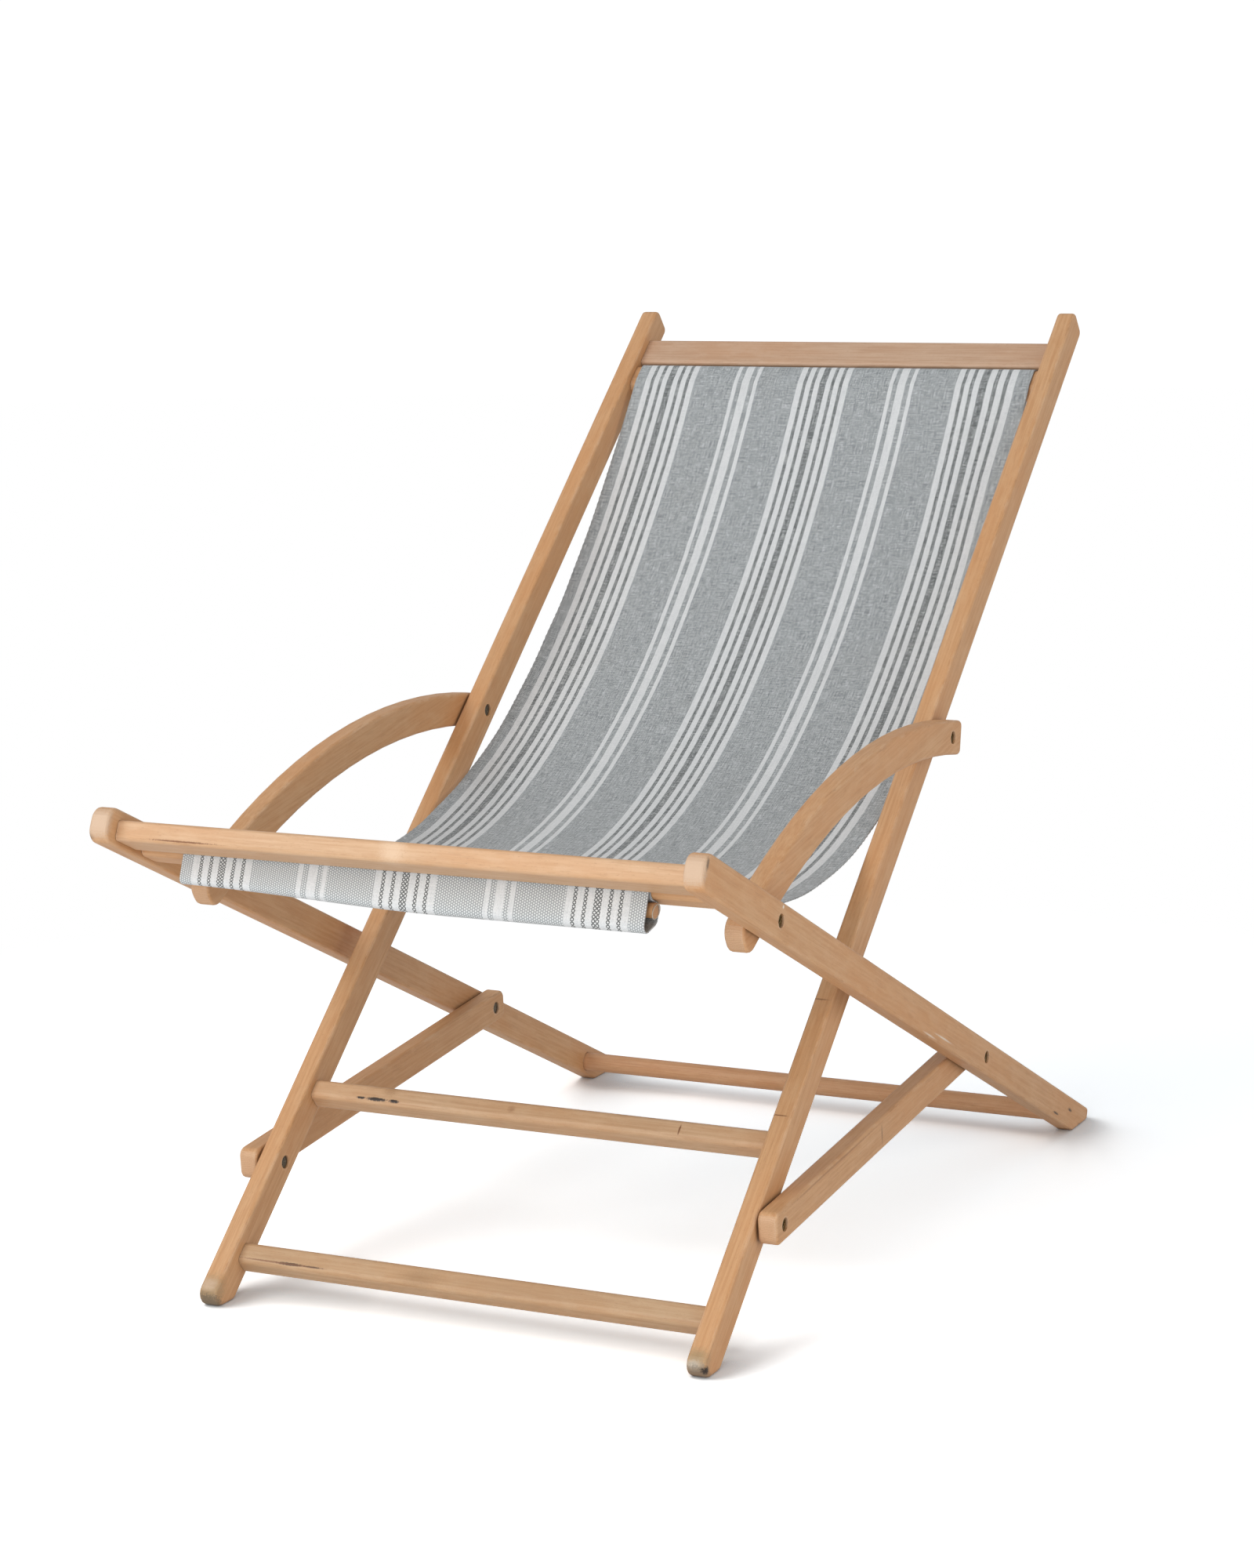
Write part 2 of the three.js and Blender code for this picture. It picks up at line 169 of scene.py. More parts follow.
def colour(value):
    """An sRGB triple out of 255, a linear grey or RGBA, or a socket, as a socket value."""
    if isinstance(value, bpy.types.NodeSocket):
        return value
    if isinstance(value, (int, float)):
        return (value, value, value, 1)
    if len(value) == 4:
        return value
    linear = [
        c / 255 / 12.92 if c <= 10 else ((c / 255 + 0.055) / 1.055) ** 2.4 for c in value
    ]
    return (*linear, 1)


# ---------- beech ----------
def beech(name, grain, seed, tone, marks=()):
    """Worn varnished beech with its grain along a direction.

    Each mark is (place, half length, half width, tone, softness, strength), lengths in mm."""
    g = Graph(name)
    side = X if abs(grain.x) < 0.5 else Vector((0, 1, 0))
    third = grain.cross(side)
    along = g.math("ADD", g.dot(g.position, grain), seed * 3.7)
    a = g.math("ADD", g.dot(g.position, side), seed * 1.3)
    b = g.math("ADD", g.dot(g.position, third), seed * 2.1)

    def stretched(length, width):
        """Coordinates with features about this long and wide, in metres."""
        return g.combine(
            g.math("DIVIDE", along, length),
            g.math("DIVIDE", a, width),
            g.math("DIVIDE", b, width),
        )

    def shifted(*change):
        return tuple(min(255, max(0, c + d)) for c, d in zip(tone, change))

    # A slow drift in colour, long soft streaks and fine fibres.
    drift = g.noise(stretched(0.16, 0.05), detail=2)
    cloud = g.noise(stretched(0.030, 0.012), detail=3, roughness=0.6)
    streak = g.noise(stretched(0.07, 0.0022), detail=3, roughness=0.6)
    fibre = g.noise(stretched(0.010, 0.0005), detail=2)
    base = g.mix(g.step(streak, 0.3, 0.7), shifted(-8, -11, -12), shifted(5, 7, 8))
    base = g.mix(g.step(drift, 0.35, 0.7), base, g.mix(0.5, base, shifted(2, -10, -18)))
    base = g.mix(g.math("MULTIPLY", g.step(cloud, 0.45, 0.7), 0.35), base, shifted(10, 14, 16))
    base = g.mix(g.math("MULTIPLY", g.step(fibre, 0.5, 0.8), 0.20), base, shifted(-26, -32, -34))
    # Beech shows short dark flecks along the grain.
    fleck = g.noise(stretched(0.0032, 0.0006), detail=1)
    flecks = g.step(fleck, 0.66, 0.74)
    base = g.mix(g.math("MULTIPLY", flecks, 0.30), base, (150, 102, 66))

    # End grain, where a face looks along the grain.
    normal = g.add("ShaderNodeNewGeometry").outputs["Normal"]
    facing = g.math("ABSOLUTE", g.dot(normal, grain))
    end = g.step(facing, 0.62, 0.9)
    wander = g.math("MULTIPLY", g.noise(g.combine(a, b), 50, detail=2), 0.010)
    rings = g.math("SINE", g.math("MULTIPLY", g.math("ADD", b, wander), 3600))
    pores = g.noise(g.combine(a, b), 1500, detail=1)
    end_tone = g.mix(g.step(rings, -1.5, 1.5), shifted(-5, 0, 8), shifted(5, 12, 20))
    pitted = g.math("MULTIPLY", g.step(pores, 0.5, 0.7), 0.3)
    end_tone = g.mix(pitted, end_tone, shifted(-50, -48, -40))
    base = g.mix(end, base, end_tone)

    # Rubbed edges are paler in places and stained brown in others.
    rounded = g.add("ShaderNodeBevel", {"Radius": 0.004}, samples=4).outputs["Normal"]
    turn = g.add("ShaderNodeVectorMath", operation="DOT_PRODUCT")
    g.feed(turn.inputs[0], rounded)
    g.feed(turn.inputs[1], normal)
    edge = g.step(turn.outputs["Value"], 0.99, 0.93)
    patchy = g.noise(stretched(0.035, 0.012), detail=3, roughness=0.65)
    rubbed = g.math("MULTIPLY", edge, g.step(patchy, 0.45, 0.62))
    base = g.mix(g.math("MULTIPLY", rubbed, 0.5), base, (226, 200, 172))
    stain = g.noise(stretched(0.030, 0.0035), detail=3, roughness=0.7)
    mostly_edges = g.math("ADD", g.math("MULTIPLY", edge, 0.8), 0.2)
    stains = g.math("MULTIPLY", mostly_edges, g.step(stain, 0.56, 0.68))
    base = g.mix(g.math("MULTIPLY", stains, 0.55), base, (138, 94, 58))

    # Grime and painted shade: darker in patches where pieces meet and in recesses, found by ambient
    # occlusion.
    shut = g.add("ShaderNodeAmbientOcclusion", {"Distance": 0.008}, samples=4).outputs["AO"]
    grime_and_painted_shade = g.math("MULTIPLY", g.step(shut, 0.62, 0.12), g.step(patchy, 0.2, 0.55))
    base = g.mix(g.math("MULTIPLY", grime_and_painted_shade, 0.6), base, (112, 78, 50))

    wobble = g.noise(g.position, 620, detail=4, roughness=0.75)
    for place, length, width, shade, softness, strength in marks:
        offset = g.add("ShaderNodeVectorMath", operation="SUBTRACT")
        g.feed(offset.inputs[0], g.position)
        g.feed(offset.inputs[1], tuple(place))
        parts = [
            g.math("POWER", g.math("DIVIDE", g.dot(offset.outputs[0], d), reach * MM), 2)
            for d, reach in ((grain, length), (side, width), (third, width))
        ]
        distance = g.math("SQRT", g.math("ADD", g.math("ADD", parts[0], parts[1]), parts[2]))
        ragged = g.math("MULTIPLY", g.math("SUBTRACT", wobble, 0.5), 1.8)
        distance = g.math("ADD", distance, ragged)
        spot = g.step(distance, 1.0 + softness, 1.0 - softness)
        base = g.mix(g.math("MULTIPLY", spot, strength), base, shade)

    height = g.math("SUBTRACT", g.math("MULTIPLY", fibre, 0.5), g.math("MULTIPLY", flecks, 0.6))
    height = g.math("SUBTRACT", height, g.math("MULTIPLY", stains, 0.8))
    rough = g.math("ADD", 0.40, g.math("MULTIPLY", patchy, 0.25))
    return g.finish(
        base, rough, height, bump=0.10 * MM, strength=0.7, Coat_Weight=0.05, Coat_Roughness=0.4
    )


# ---------- striped cloth ----------
# The stripes repeat evenly across the cloth. Places are from the selvedge on the sitter's right,
# in millimetres.
CLOTH_WIDTH = 445.0
STRIPE_MIDDLE = 221.0
STRIPE_REPEAT = 180.0
GROUPS = [STRIPE_MIDDLE + STRIPE_REPEAT * k for k in (-1, 0, 1)]
TRIPLES = [STRIPE_MIDDLE + STRIPE_REPEAT * k for k in (-0.5, 0.5)]
CHAINS = (1.8, 11.5, 21.1)  # rows of rings on the reverse, from a group's middle
GROUP_HALF = 29.3
TRIPLE_HALF = 14.0


def nearest(g, u, places):
    """The distance in millimetres from u to the nearest of the places."""
    distance = None
    for place in places:
        here = g.math("ABSOLUTE", g.math("SUBTRACT", u, place))
        distance = here if distance is None else g.math("MINIMUM", distance, here)
    return distance


def band(g, value, low, high, soft=0.3):
    """1 between low and high, 0 outside."""
    above = g.step(value, low - soft, low + soft)
    below = g.step(value, high + soft, high - soft)
    return g.math("MULTIPLY", above, below)


def canvas(name, reverse):
    """Striped twill. The reverse is paler, and its dark stripes read as chains of small rings."""
    g = Graph(name)
    uv = g.add("ShaderNodeUVMap", uv_map="cloth").outputs[0]
    parts = g.add("ShaderNodeSeparateXYZ", {"Vector": uv})
    raw_u = g.math("MULTIPLY", parts.outputs[0], 1000.0)
    v = g.math("MULTIPLY", parts.outputs[1], 1000.0)

    def patches(across, down, **settings):
        """Noise with features about this many millimetres across and down the cloth."""
        place = g.combine(g.math("DIVIDE", raw_u, across), g.math("DIVIDE", v, down))
        return g.noise(place, 1.0, **settings)

    yarn_place = g.combine(g.math("MULTIPLY", raw_u, 0.9), g.math("MULTIPLY", v, 0.9))
    yarn = g.noise(yarn_place, 1.0, detail=1)
    u = g.math("ADD", raw_u, g.math("MULTIPLY", g.math("SUBTRACT", yarn, 0.5), 0.9))

    from_group = nearest(g, u, GROUPS)
    from_triple = nearest(g, u, TRIPLES)
    white = g.math("MAXIMUM", band(g, from_group, 3.6, 9.4), band(g, from_group, 13.2, 19.0))
    white = g.math("MAXIMUM", white, band(g, from_group, 22.8, GROUP_HALF))
    white = g.math("MAXIMUM", white, g.step(from_triple, 4.6, 4.1))
    white = g.math("MAXIMUM", white, band(g, from_triple, 9.6, TRIPLE_HALF))
    in_group = g.step(from_group, GROUP_HALF + 0.3, GROUP_HALF - 0.3)
    dark = g.math("MULTIPLY", in_group, g.math("SUBTRACT", 1.0, white))

    # Twill: short pale dashes of weft on a diagonal, over darker warp.
    row = g.math("FLOOR", g.math("DIVIDE", v, 0.85))
    slant = g.math("MULTIPLY", g.math("MODULO", row, 3.0), 0.55)
    dash = g.math("SINE", g.math("MULTIPLY", g.math("ADD", raw_u, slant), math.tau / 1.65))
    weft = g.math("SINE", g.math("MULTIPLY", v, math.tau / 0.85))
    weave = g.math("ADD", g.math("MULTIPLY", dash, 0.6), g.math("MULTIPLY", weft, 0.4))
    warp_yarn = patches(0.9, 16.0, detail=2)
    weft_yarn = patches(12.0, 0.9, detail=2)
    fine = patches(1.6, 1.6, detail=3, roughness=0.8)
    heather = g.math("MULTIPLY", g.math("ADD", g.math("ADD", warp_yarn, weft_yarn), fine), 0.3333)
    mottle = patches(2.2, 2.6, detail=2, roughness=0.7)
    contrast = g.math("MULTIPLY", g.math("SUBTRACT", heather, 0.5), 2.4)
    contrast = g.math("ADD", contrast, g.math("MULTIPLY", g.math("SUBTRACT", mottle, 0.5), 0.6))
    mixed = g.math("ADD", g.math("ADD", 0.5, contrast), g.math("MULTIPLY", weave, 0.28))

    # Rings where dark and pale yarns cross on the reverse.
    def ring_cells(across, pitch, run):
        cell = g.math("SUBTRACT", g.math("FRACT", run), 0.5)
        reach = g.math("DIVIDE", across, pitch)
        return g.math("SQRT", g.math("ADD", g.math("POWER", cell, 2.0), g.math("POWER", reach, 2.0)))

    pale_yarn = (226, 228, 229)
    if reverse:
        column = g.math("DIVIDE", raw_u, 2.1)
        stagger = g.math("MULTIPLY", g.math("MODULO", g.math("FLOOR", column), 2.0), 0.5)
        cell_u = g.math("SUBTRACT", g.math("FRACT", column), 0.5)
        scale = ring_cells(cell_u, 1.0, g.math("ADD", g.math("DIVIDE", v, 2.4), stagger))
        scales = g.step(scale, 0.27, 0.42)
        chain = ring_cells(nearest(g, from_group, CHAINS), 3.7, g.math("DIVIDE", v, 3.5))
        chain = band(g, chain, 0.25, 0.50, 0.06)
        broad_tone = g.mix(scales, (222, 225, 226), (160, 165, 167))
        dark_tone = g.mix(chain, (224, 226, 226), (84, 88, 89))
        sunk = g.math("MAXIMUM", scales, g.math("MULTIPLY", chain, in_group))
        height = g.math("SUBTRACT", 1.0, sunk)
    else:
        broad_stops = [(0.1, (99, 105, 108)), (0.5, (158, 163, 165)), (0.9, (215, 219, 221))]
        dark_stops = [(0.15, (62, 66, 68)), (0.5, (116, 121, 122)), (0.85, (206, 209, 210))]
        broad_tone = g.ramp(mixed, broad_stops)
        dark_tone = g.ramp(mixed, dark_stops)
        height = g.math("ADD", 0.5, g.math("MULTIPLY", weave, 0.5))
    white_tone = g.ramp(mixed, [(0.1, (198, 202, 204)), (0.7, pale_yarn)])
    base = g.mix(dark, broad_tone, dark_tone)
    base = g.mix(white, base, white_tone)
    # A little handling soil.
    soil = patches(70.0, 90.0, detail=3)
    base = g.mix(g.math("MULTIPLY", g.step(soil, 0.5, 0.8), 0.10), base, (150, 146, 138))
    height = g.math("ADD", height, g.math("MULTIPLY", heather, 0.6))
    return g.finish(
        base, 0.92, height, bump=0.28 * MM, strength=0.8, Sheen_Weight=0.25, Sheen_Roughness=0.5
    )


def thread(name, tone):
    g = Graph(name)
    twist = g.math("SINE", g.math("MULTIPLY", g.dot(g.position, Vector((1, 1, 1))), 9000))
    base = g.mix(g.step(twist, -1, 1), tuple(c - 26 for c in tone), tone)
    return g.finish(base, 0.8, twist, bump=0.1 * MM, Sheen_Weight=0.3)


def metal(name, tone, seed):
    """Dull plated brass with darker patches of grime."""
    g = Graph(name)
    shade = g.noise(g.position, 900 + seed, detail=3)
    scratched = g.combine(g.dot(g.position, X), g.dot(g.position, Vector((0, 5, 0.4))))
    scratch = g.noise(scratched, 1500, detail=1)
    dark = tuple(c * 0.45 for c in tone)
    base = g.mix(g.step(shade, 0.38, 0.68), tone, dark)
    rough = g.math("ADD", 0.28, g.math("MULTIPLY", shade, 0.3))
    return g.finish(base, rough, scratch, bump=0.05 * MM, Metallic=1.0)


def nylon():
    g = Graph("nylon_washer")
    haze = g.noise(g.position, 700, detail=3)
    base = g.mix(haze, (188, 180, 160), (216, 210, 196))
    return g.finish(base, 0.5, haze, bump=0.05 * MM)


def set_material(node, material):
    mesh = frame["nodes"][node].data
    mesh.materials.clear()
    mesh.materials.append(material)


# ---------- finish the carried-over pieces ----------
TONE = (204, 157, 112)
TIP = (206, 177, 150)
DIRT = (150, 132, 98)
SCORCH = (48, 36, 27)
CRACK = (128, 84, 52)

BACK_SPAN = (UPPER_PIVOT - LOWER_PIVOT).length / MM
SEAT_SPAN = (REAR_PIVOT - FRONT_PIVOT).length / MM
BAR_HALF = 231  # half the length of a bar between the back rails
FRONT_HALF = 271  # half the length of the front rail
SEAT_TIP = -172  # the front end of a seat rail, from its pivot
SEAT_REAR = 924  # its rear end
FOOT = -155  # about where a back rail meets the floor, from its pivot
RAIL_FRONT = 16  # the front face of a rail, from its middle line
OUTER_FACE = 290  # the outer face of a seat rail


def on_back(x, s, n):
    return in_rail(LOWER_PIVOT, BACK_DIR, s, n, x * MM)


def on_seat(x, s, n):
    return in_rail(FRONT_PIVOT, SEAT_DIR, s, n, x * MM)


def on_upper(part, s=74):
    """A place on the upper stretcher's top face, from -1 at its right end to 1 at its left."""
    return on_back(part * BAR_HALF, s, 8)


def on_lower(part, s=-108):
    return on_back(part * BAR_HALF, s, 5.5)


def on_front(part, n):
    """A place on the front rail's front face, from -1 at its right end to 1 at its left."""
    return on_seat(part * FRONT_HALF, SEAT_TIP + 16, n)


def on_link(part, above):
    """A place on the left link's outer face, part of the way from its front pivot to its rear one."""
    return LOWER_PIVOT.lerp(REAR_PIVOT, part) + Vector((270, 0, above)) * MM


# Knocks, scratches, cracks and worn ends on single pieces, at rounded places. Left and right are
# the sitter's.
MARKS = {
    "upper_stretcher": [
        (on_upper(-0.77), 4.5, 1.2, SCORCH, 0.35, 1.0),
        (on_upper(-0.70), 10, 1.8, SCORCH, 0.35, 1.0),
        (on_upper(-0.62), 5, 1.7, SCORCH, 0.35, 1.0),
        (on_upper(-0.65, 85), 6, 5, (160, 120, 80), 0.8, 0.5),
        (on_upper(0.63, 79), 0.8, 5, CRACK, 0.4, 1.0),
        (on_upper(-0.1, 80), 3, 3, (160, 116, 78), 0.8, 0.6),
    ],
    "lower_stretcher": [
        (on_lower(-0.77), 13, 1.3, SCORCH, 0.35, 1.0),
        (on_lower(-0.67), 10, 0.8, SCORCH, 0.4, 0.9),
        (on_lower(-0.82), 38, 0.8, CRACK, 0.5, 0.8),
        (on_lower(-0.2, -104), 15, 7, (150, 112, 72), 0.9, 0.45),
        (on_lower(0.25, -102), 70, 9, (168, 132, 98), 0.9, 0.35),
    ],
    "back_rail_left": [
        (on_back(238, 0.18 * BACK_SPAN, RAIL_FRONT), 0.6, 8, CRACK, 0.4, 0.9),
        (on_back(238, 0.41 * BACK_SPAN, RAIL_FRONT), 0.7, 7, CRACK, 0.5, 0.7),
        (on_back(240, FOOT + 5, RAIL_FRONT), 9, 10, DIRT, 0.7, 0.7),
        (on_back(238, FOOT, RAIL_FRONT - 2), 3.5, 7, (226, 218, 202), 0.8, 0.7),
        (on_back(240, FOOT - 5, 4), 7, 22, (104, 88, 68), 0.5, 0.75),
        (on_back(248, FOOT, 9), 3.5, 3.5, SCORCH, 0.4, 1.0),
    ],
    "back_rail_right": [
        (on_back(-240, FOOT + 5, RAIL_FRONT), 13, 13, DIRT, 0.7, 0.7),
        (on_back(-242, FOOT + 10, RAIL_FRONT), 5, 8, TIP, 0.8, 0.7),
        (on_back(-240, FOOT - 5, 4), 7, 22, (96, 84, 66), 0.5, 0.8),
    ],
    "seat_rail_left": [
        (on_seat(281, SEAT_TIP, 0), 7, 15, TIP, 0.5, 0.85),
        (on_seat(OUTER_FACE, SEAT_TIP + 5, 6), 2.0, 5, (120, 98, 78), 0.5, 0.85),
        (on_seat(OUTER_FACE, 0, 12), 1.6, 1.4, (236, 228, 214), 0.5, 0.9),
        (on_seat(OUTER_FACE, 0.77 * SEAT_SPAN, -9), 20, 0.8, (232, 220, 204), 0.7, 0.8),
        (on_seat(OUTER_FACE, 0.70 * SEAT_SPAN, -14), 14, 0.7, (232, 220, 204), 0.7, 0.7),
        (on_seat(OUTER_FACE, 0.88 * SEAT_REAR, -10), 8, 1.1, SCORCH, 0.5, 0.85),
        (on_seat(OUTER_FACE, 0.93 * SEAT_REAR, 2), 6, 1.4, SCORCH, 0.5, 0.8),
        (on_seat(OUTER_FACE, 0.98 * SEAT_REAR, -6), 9, 1.6, SCORCH, 0.5, 0.85),
        (on_seat(OUTER_FACE, SEAT_REAR, 4), 5, 9, (172, 124, 80), 0.8, 0.6),
    ],
    "seat_rail_right": [
        (on_seat(-281, SEAT_TIP, 0), 7, 15, TIP, 0.5, 0.85),
        (on_seat(-OUTER_FACE, SEAT_TIP + 5, -10), 3, 5, (112, 92, 74), 0.6, 0.7),
    ],
    "front_rail": [
        (on_front(-0.75, -8), 34, 0.8, CRACK, 0.4, 0.9),
        (on_front(0, 0), 10, 12, (230, 202, 172), 0.8, 0.5),
    ],
    "lower_link_left": [
        (on_link(0.5, 0), 1.0, 8, (112, 82, 54), 0.6, 0.7),
        (on_link(0.25, 12), 90, 1.0, (150, 100, 60), 0.6, 0.6),
    ],
}
SHADES = {
    "head_rail": (196, 162, 134),
    "front_rail": (205, 166, 128),
    "rear_rod": (204, 154, 112),
    "upper_stretcher": (200, 163, 126),
    "lower_stretcher": (190, 156, 120),
}


def paint_wood():
    grains = {"back_rail": BACK_DIR, "seat_rail": SEAT_DIR, "arm": ARM_DIR, "lower_link": LINK_DIR}
    hands = ("left", "right")
    pieces = [(f"{stem}_{hand}", grain) for stem, grain in grains.items() for hand in hands]
    bars = (
        "head_rail", "back_sling_bar", "upper_stretcher", "lower_stretcher", "front_rail",
        "front_sling_bar", "rear_rod", "sling_dowel_top", "sling_dowel_front",
    )
    pieces += [(node, X) for node in bars]
    for seed, (node, grain) in enumerate(pieces, 1):
        wood = beech(f"beech_{node}", grain, seed, SHADES.get(node, TONE), MARKS.get(node, ()))
        set_material(node, wood)


def paint_hardware():
    brass = metal("dull_brass", (150, 124, 74), 0)
    zinc = metal("dull_zinc", (132, 124, 108), 40)
    washer = nylon()
    for node in frame["nodes"]:
        if "pivot_bolt" in node:
            set_material(node, brass)
        elif "sleeve_nut" in node:
            set_material(node, zinc)
        elif "washer" in node:
            set_material(node, washer)


paint_wood()
paint_hardware()


# ---------- the sling ----------
CLOTH_HALF_THICKNESS = 0.6  # millimetres
SPLIT_Y = -0.150  # where the two sheets meet, metres
SKIN = 1.1  # the cloth's centre from the face it lies on, millimetres
BAR_ROUND = 8.0
BAR_WIDE = 34.0
BAR_DEEP = 20.0
BACK_TOP = 1131  # the top end of a back rail, from its lower pivot
HEAD_LIP = 37.5  # from there to the head rail
HEAD_RAIL_WIDE = 36.5
FRONT_LIP = 15.5  # from a seat rail's tip to the front rail
FRONT_RAIL_WIDE = 38
SLING_SLOT = 4.4
BACK_BAR_UNDERSIDE = -12
FRONT_BAR_UNDERSIDE = -13
TOP_LEAVE = 0.25  # how far over the bar's crown the cloth leaves it, radians
FRONT_LEAVE = 0.001
# Below level, where the cloth leaves each bar, and how far it holds towards that line.
HANG_BACK_ANGLE = math.radians(55)
HANG_BACK_REACH = 500
HANG_SEAT_ANGLE = math.radians(25)
HANG_SEAT_REACH = 350
HEM_OUT = 3.0  # the hem's place in the slot, from the sling bar's face
POCKET_DROP = 35.0  # corners of the sleeve's front and back, below the bar
POCKET_HEEL = 17.0
POCKET_BACK = 22.5  # how far back the sleeve reaches from the slot
POCKET_ROUND = 6.0


def eased(corners, steps):
    """An open line through (place, radius) corners, each one between the ends rounded by an arc."""
    out = [corners[0][0]]
    for (before, _), (corner, radius), (after, _) in zip(corners, corners[1:], corners[2:]):
        inward = (before - corner).normalized()
        outward = (after - corner).normalized()
        half = inward.angle(outward) / 2
        bisector = (inward + outward).normalized()
        centre = corner + bisector * (radius / math.sin(half))
        middle = math.atan2(-bisector.y, -bisector.x)
        turn = math.copysign(math.pi / 2 - half, outward.x * inward.y - outward.y * inward.x)
        for k in range(steps + 1):
            angle = middle + turn * (2 * k / steps - 1)
            out.append(centre + Vector((math.cos(angle), math.sin(angle))) * radius)
    return out + [corners[-1][0]]


def sling_end(pivot, direction, face, side, underside, leave):
    """The cloth from its hem round the sleeve, up the slot and over the bar, as (y, z) in mm."""

    def at(u, down):
        p = in_rail(pivot, direction, face + side * u, underside - down)
        return Vector((p.y / MM, p.z / MM))

    def arc(centre, start, stop, steps):
        angles = [start + (stop - start) * i / steps for i in range(steps + 1)]
        over, low = BAR_ROUND + SKIN, BAR_ROUND - BAR_DEEP
        return [at(centre + over * math.cos(t), low - over * math.sin(t)) for t in angles]

    pocket = [
        (at(HEM_OUT, -5), 0),
        (at(0.5, POCKET_DROP), POCKET_ROUND),
        (at(-POCKET_BACK, POCKET_HEEL), POCKET_ROUND),
        (at(-POCKET_BACK, SKIN), POCKET_ROUND),
        (at(SKIN, SKIN), BAR_ROUND + SKIN),
        (at(SKIN, -BAR_ROUND - 0.5), 0),
    ]
    return (
        eased(pocket, 10)
        + arc(-BAR_ROUND, 0, math.pi / 2, 8)
        + arc(BAR_ROUND - BAR_WIDE, math.pi / 2 + 0.02, math.pi / 2 + 0.02 + leave, 4)
    )


def even_steps(points, step):
    """Points a fixed distance apart along a polyline."""
    lengths = [0.0]
    for a, b in zip(points, points[1:]):
        lengths.append(lengths[-1] + (b - a).length)
    count = round(lengths[-1] / step)
    out, k = [], 0
    for i in range(count + 1):
        want = lengths[-1] * i / count
        while k < len(points) - 2 and lengths[k + 1] < want:
            k += 1
        t = (want - lengths[k]) / max(lengths[k + 1] - lengths[k], 1e-9)
        out.append(points[k].lerp(points[k + 1], min(max(t, 0), 1)))
    return out, lengths[-1]


def cloth_line():
    """The middle of the cloth from the top hem to the front hem, in millimetres."""
    top_face = BACK_TOP - HEAD_LIP - HEAD_RAIL_WIDE - SLING_SLOT
    front_face = SEAT_TIP + FRONT_LIP + FRONT_RAIL_WIDE + SLING_SLOT
    top = sling_end(LOWER_PIVOT, BACK_DIR, top_face, 1, BACK_BAR_UNDERSIDE, TOP_LEAVE)
    front = sling_end(FRONT_PIVOT, SEAT_DIR, front_face, -1, FRONT_BAR_UNDERSIDE, FRONT_LEAVE)
    start, stop = top[-1], front[-1]
    off_back = Vector((math.cos(HANG_BACK_ANGLE), math.sin(HANG_BACK_ANGLE)))
    off_seat = Vector((math.cos(HANG_SEAT_ANGLE), -math.sin(HANG_SEAT_ANGLE)))
    first = start - off_back * HANG_BACK_REACH
    second = stop + off_seat * HANG_SEAT_REACH
    hang = [p.to_2d() for p in interpolate_bezier(start, first, second, stop, 200)]
    points = top[:-1] + hang + front[-2::-1]
    return even_steps(points, 3.0)


def smooth_step(value, low, high):
    t = min(max((value - low) / (high - low), 0), 1)
    return t * t * (3 - 2 * t)


EDGE_COLUMNS = [0, 0.8, 1.8, 3, 5, 8, 12, 17, 23]  # close together at a selvedge, millimetres
INNER_STEPS = 66
NARROWING = 0.008  # the cloth is this much narrower near its top end
OFF_CENTRE = 2.5  # how far the cloth sits to the chair's right
TOP_OFF_CENTRE = 1.0  # and how much further near its top end
LEFT_FLARE = 6.0
TOP_FLARE = 8.0
RIGHT_CURL, LEFT_CURL = 3.0, 1.0
RIPPLE = 1.6
BELLY = 4.0
SLEEVE_RUN = 90  # the length of cloth in the front sleeve
SNUG = 0.22  # how much the sleeve closes up at its right end


def selvedge_shift(i, c, v, ends):
    """How far the edges wander and flare sideways, in millimetres."""
    side = 1 if c > CLOTH_WIDTH / 2 else -1
    from_edge = min(c, CLOTH_WIDTH - c)
    drift = noise.noise(Vector((v / 60, side * 5, 0))) * 1.2
    jag = 0.35 * math.sin(i * 2.4) * (1 if from_edge < 0.1 else 0)
    shift = side * (jag + drift * smooth_step(30 - from_edge, 0, 30)) * ends
    shift += LEFT_FLARE * smooth_step(c, 425, CLOTH_WIDTH) * smooth_step(v, 120, 230) * ends
    below_bar = smooth_step(v, 70, 110) * smooth_step(270 - v, 0, 130)
    return shift + TOP_FLARE * smooth_step(c, 385, CLOTH_WIDTH) * below_bar


def cloth_lift(c, x, v, ends):
    """How far the cloth stands off its middle line, in millimetres."""
    from_edge = min(c, CLOTH_WIDTH - c)
    on_left = c > CLOTH_WIDTH / 2
    curl = (LEFT_CURL if on_left else RIGHT_CURL) * smooth_step(24 - from_edge, 0, 24) ** 2 * ends
    curl *= 1 + 0.5 * noise.noise(Vector((v / 90, 9 if on_left else -9, 4)))
    ripple = RIPPLE * noise.noise(Vector((x / 70, v / 130, 2))) * ends
    belly = -BELLY * math.cos(x / 225 * math.pi / 2) * ends
    return curl + ripple + belly


